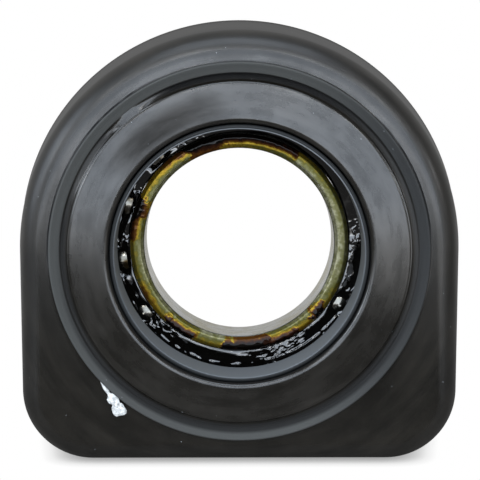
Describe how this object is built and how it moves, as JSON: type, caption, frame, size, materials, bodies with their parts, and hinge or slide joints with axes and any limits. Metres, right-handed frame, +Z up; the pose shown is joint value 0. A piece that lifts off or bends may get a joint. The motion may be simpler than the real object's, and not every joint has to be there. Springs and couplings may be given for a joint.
{
  "type": "driveshaft centre bearing",
  "caption": "D-shaped moulded rubber cushion with a flat base, holding an open deep groove ball bearing that carries the middle of a propeller shaft.",
  "frame": {"origin": "centre of the ball bearing, on the shaft's axis in the middle plane", "axes": "+Y along the shaft away from the face seen first, +Z up from the flat base, +X to the right"},
  "size_m": [0.1504, 0.072, 0.1462],
  "materials": {
    "moulded_rubber": "black moulded rubber, satin with a wiped sheen",
    "coated_steel": "pressed steel with a thin black coat",
    "bearing_steel": "ground bearing steel with an amber grease film on the faces",
    "cage_steel": "pressed steel ribbon, greasy",
    "ball_steel": "lapped steel balls under dark grease",
    "grease": "dark amber to black bearing grease, wet gloss",
    "film_scrap": "torn scrap of white film, crumpled"
  },
  "bodies": {
    "housing": {"rubber_cushion": "moulded_rubber", "front_retainer": "coated_steel", "rear_retainer": "coated_steel", "outer_ring": "bearing_steel"},
    "inner_race": {"inner_ring": "bearing_steel"},
    "cage": {"front_cage": "cage_steel", "rear_cage": "cage_steel", "cage_rivets": "cage_steel"},
    "ball_01": {"ball_01": "ball_steel"},
    "ball_02": {"ball_02": "ball_steel"},
    "ball_03": {"ball_03": "ball_steel"},
    "ball_04": {"ball_04": "ball_steel"},
    "ball_05": {"ball_05": "ball_steel"},
    "ball_06": {"ball_06": "ball_steel"},
    "ball_07": {"ball_07": "ball_steel"},
    "ball_08": {"ball_08": "ball_steel"},
    "ball_09": {"ball_09": "ball_steel"},
    "ball_10": {"ball_10": "ball_steel"},
    "ball_11": {"ball_11": "ball_steel"},
    "ball_12": {"ball_12": "ball_steel"},
    "ball_13": {"ball_13": "ball_steel"}
  },
  "joints": [
    {"name": "inner_ring_spin", "type": "hinge", "parent": "housing", "child": "inner_race", "pos_m": [0, 0, 0], "axis": [0, 1, 0], "continuous": true},
    {"name": "cage_orbit", "type": "hinge", "parent": "housing", "child": "cage", "pos_m": [0, 0, 0], "axis": [0, 1, 0], "continuous": true},
    {"name": "ball_01_spin", "type": "hinge", "parent": "cage", "child": "ball_01", "pos_m": [0.03789, 0, 0.01632], "axis": [0, 1, 0], "continuous": true},
    {"name": "ball_02_spin", "type": "hinge", "parent": "cage", "child": "ball_02", "pos_m": [0.02596, 0, 0.03205], "axis": [0, 1, 0], "continuous": true},
    {"name": "ball_03_spin", "type": "hinge", "parent": "cage", "child": "ball_03", "pos_m": [0.00809, 0, 0.04045], "axis": [0, 1, 0], "continuous": true},
    {"name": "ball_04_spin", "type": "hinge", "parent": "cage", "child": "ball_04", "pos_m": [-0.01163, 0, 0.03958], "axis": [0, 1, 0], "continuous": true},
    {"name": "ball_05_spin", "type": "hinge", "parent": "cage", "child": "ball_05", "pos_m": [-0.02869, 0, 0.02964], "axis": [0, 1, 0], "continuous": true},
    {"name": "ball_06_spin", "type": "hinge", "parent": "cage", "child": "ball_06", "pos_m": [-0.03918, 0, 0.01291], "axis": [0, 1, 0], "continuous": true},
    {"name": "ball_07_spin", "type": "hinge", "parent": "cage", "child": "ball_07", "pos_m": [-0.04069, 0, -0.00677], "axis": [0, 1, 0], "continuous": true},
    {"name": "ball_08_spin", "type": "hinge", "parent": "cage", "child": "ball_08", "pos_m": [-0.03288, 0, -0.02491], "axis": [0, 1, 0], "continuous": true},
    {"name": "ball_09_spin", "type": "hinge", "parent": "cage", "child": "ball_09", "pos_m": [-0.01754, 0, -0.03734], "axis": [0, 1, 0], "continuous": true},
    {"name": "ball_10_spin", "type": "hinge", "parent": "cage", "child": "ball_10", "pos_m": [0.00182, 0, -0.04121], "axis": [0, 1, 0], "continuous": true},
    {"name": "ball_11_spin", "type": "hinge", "parent": "cage", "child": "ball_11", "pos_m": [0.02076, 0, -0.03564], "axis": [0, 1, 0], "continuous": true},
    {"name": "ball_12_spin", "type": "hinge", "parent": "cage", "child": "ball_12", "pos_m": [0.03495, 0, -0.02191], "axis": [0, 1, 0], "continuous": true},
    {"name": "ball_13_spin", "type": "hinge", "parent": "cage", "child": "ball_13", "pos_m": [0.04113, 0, -0.00316], "axis": [0, 1, 0], "continuous": true}
  ],
  "couplings": [
    {"joint": "cage_orbit", "follows": "inner_ring_spin", "ratio": 0.43273},
    {"joint": "ball_01_spin", "follows": "inner_ring_spin", "ratio": -3.6489},
    {"joint": "ball_02_spin", "follows": "inner_ring_spin", "ratio": -3.6489},
    {"joint": "ball_03_spin", "follows": "inner_ring_spin", "ratio": -3.6489},
    {"joint": "ball_04_spin", "follows": "inner_ring_spin", "ratio": -3.6489},
    {"joint": "ball_05_spin", "follows": "inner_ring_spin", "ratio": -3.6489},
    {"joint": "ball_06_spin", "follows": "inner_ring_spin", "ratio": -3.6489},
    {"joint": "ball_07_spin", "follows": "inner_ring_spin", "ratio": -3.6489},
    {"joint": "ball_08_spin", "follows": "inner_ring_spin", "ratio": -3.6489},
    {"joint": "ball_09_spin", "follows": "inner_ring_spin", "ratio": -3.6489},
    {"joint": "ball_10_spin", "follows": "inner_ring_spin", "ratio": -3.6489},
    {"joint": "ball_11_spin", "follows": "inner_ring_spin", "ratio": -3.6489},
    {"joint": "ball_12_spin", "follows": "inner_ring_spin", "ratio": -3.6489},
    {"joint": "ball_13_spin", "follows": "inner_ring_spin", "ratio": -3.6489}
  ]
}
